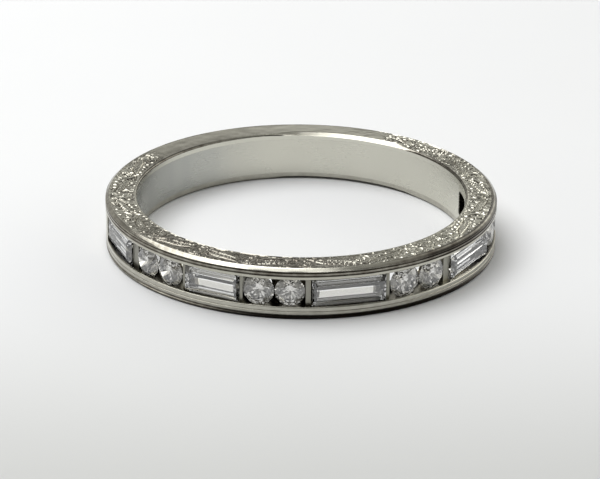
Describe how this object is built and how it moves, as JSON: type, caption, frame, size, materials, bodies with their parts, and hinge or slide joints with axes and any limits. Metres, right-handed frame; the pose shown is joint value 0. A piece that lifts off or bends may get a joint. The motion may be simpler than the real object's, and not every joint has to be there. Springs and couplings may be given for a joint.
{
  "type": "wedding band",
  "caption": "Narrow half-eternity finger ring with channel-set step-cut and round stones, lipped rails with turned lines, and flat side faces.",
  "frame": {"origin": "centre of the finger bore, halfway between the two side faces", "axes": "+Z along the bore axis, towards the upper side face; the middle of the stone row faces -Y; +X completes the right-handed frame"},
  "size_m": [0.0202, 0.0202, 0.0026],
  "materials": {
    "platinum": "polished",
    "diamond": "polished"
  },
  "bodies": {
    "root": {"base_band": "platinum", "back_shank": "platinum", "upper_rail": "platinum", "lower_rail": "platinum", "bar_1": "platinum", "bar_2": "platinum", "bar_3": "platinum", "bar_4": "platinum", "bar_5": "platinum", "bar_6": "platinum", "bar_7": "platinum", "bar_8": "platinum", "baguette_1": "diamond", "baguette_2": "diamond", "baguette_3": "diamond", "baguette_4": "diamond", "baguette_5": "diamond", "round_1": "diamond", "round_2": "diamond", "round_3": "diamond", "round_4": "diamond", "round_5": "diamond", "round_6": "diamond", "round_7": "diamond", "round_8": "diamond"}
  },
  "joints": []
}
